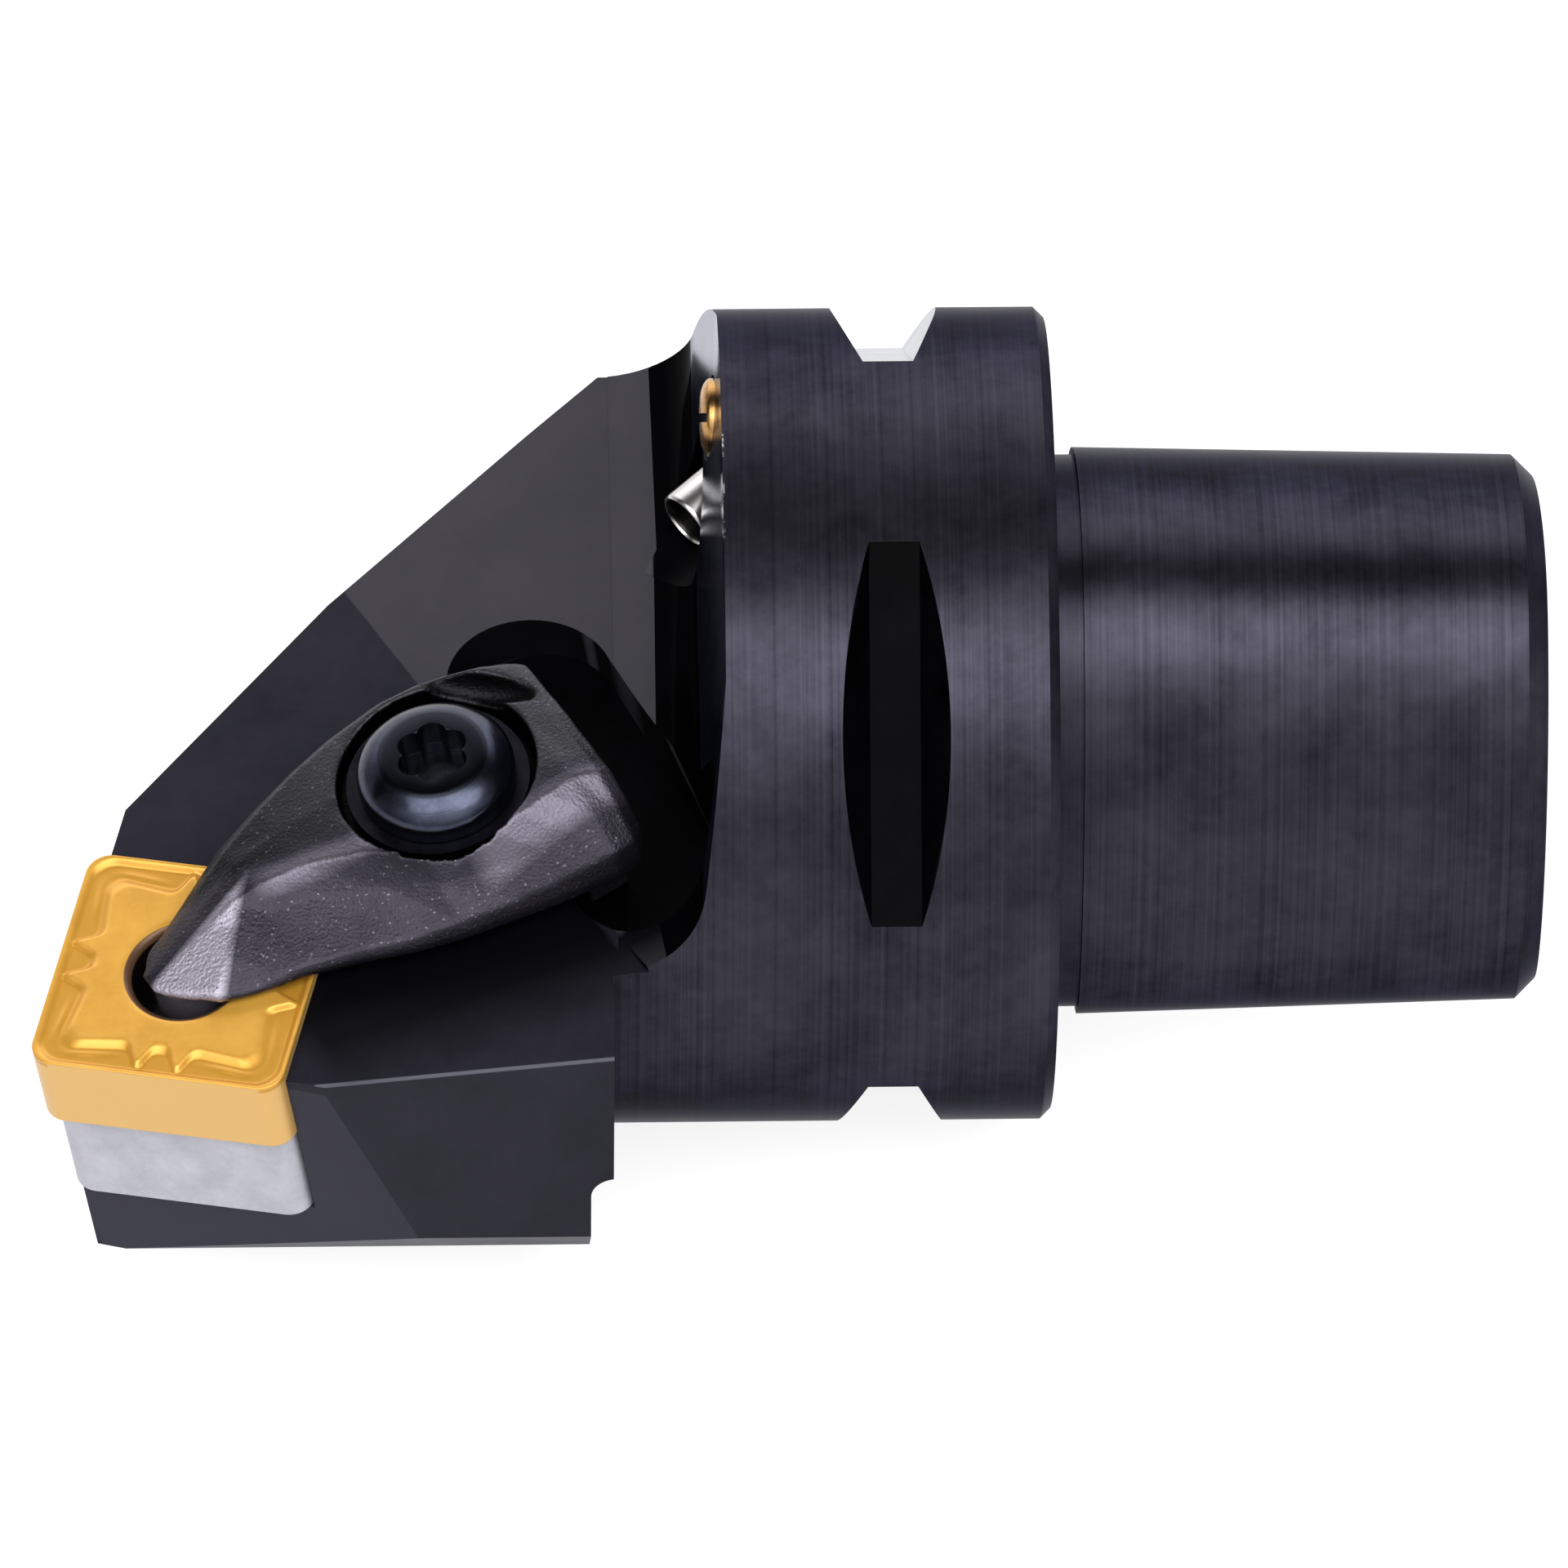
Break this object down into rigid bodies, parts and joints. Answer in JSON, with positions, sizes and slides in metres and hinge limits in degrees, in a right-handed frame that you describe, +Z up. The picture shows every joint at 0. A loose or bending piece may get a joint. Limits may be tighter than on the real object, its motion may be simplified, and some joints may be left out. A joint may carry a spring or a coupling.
{
  "type": "turning tool holder",
  "caption": "Right-hand turning head with a three-lobed taper shank, gripper flange, square insert under a screw-down top clamp, and a swivelling coolant nozzle.",
  "frame": {"origin": "on the tool axis, in the plane of the flange face that seats against the machine", "axes": "+X along the tool axis from the cutting end to the shank end, -Y towards the cutting side, +Z up, the side of the rake face"},
  "size_m": [0.0737, 0.045, 0.04],
  "materials": {
    "body": "black oxide over machined steel",
    "insert": "gold-coloured coating on carbide",
    "shim": "ground carbide",
    "shim_screw": "black oxide",
    "clamp": "forged and blasted, black oxide",
    "clamp_screw": "glossy black oxide",
    "washer": "black oxide",
    "ring": "spring steel",
    "spring": "spring steel wire",
    "ball": "polished",
    "tube": "drawn tube",
    "retainer": "turned",
    "seal": "matte",
    "plug": "turned"
  },
  "bodies": {
    "holder": {"holder_body": "body", "cutting_insert": "insert", "insert_shim": "shim", "shim_screw": "shim_screw", "clamp_spring": "spring", "nozzle_retainer": "retainer", "coolant_port_plug": "plug"},
    "clamp": {"clamp_arm": "clamp", "clamp_washer": "washer"},
    "clamp_bolt": {"clamp_screw": "clamp_screw", "clamp_retaining_ring": "ring"},
    "nozzle_seat": {"nozzle_seal": "seal"},
    "nozzle": {"nozzle_ball": "ball", "nozzle_tube": "tube"}
  },
  "joints": [
    {"name": "clamp_lift", "type": "slide", "parent": "holder", "child": "clamp", "axis": [-0.1276, -0.0746, 0.989], "range_m": [0, 0.0024]},
    {"name": "screw_turn", "type": "hinge", "parent": "clamp", "child": "clamp_bolt", "pos_m": [-0.02953, -0.01003, 0.00354], "axis": [-0.1276, -0.0746, 0.989], "range_deg": [0, 1236]},
    {"name": "nozzle_spin", "type": "hinge", "parent": "holder", "child": "nozzle_seat", "pos_m": [-0.01311, 0.01055, 0.00799], "axis": [-0.7401, -0.6531, -0.1604], "continuous": true},
    {"name": "nozzle_tilt", "type": "hinge", "parent": "nozzle_seat", "child": "nozzle", "pos_m": [-0.01311, 0.01055, 0.00799], "axis": [-0.6616, 0.7498, 0], "range_deg": [-8, 8]}
  ],
  "couplings": [
    {"joint": "screw_turn", "follows": "clamp_lift", "rad_per_m": 8976}
  ]
}
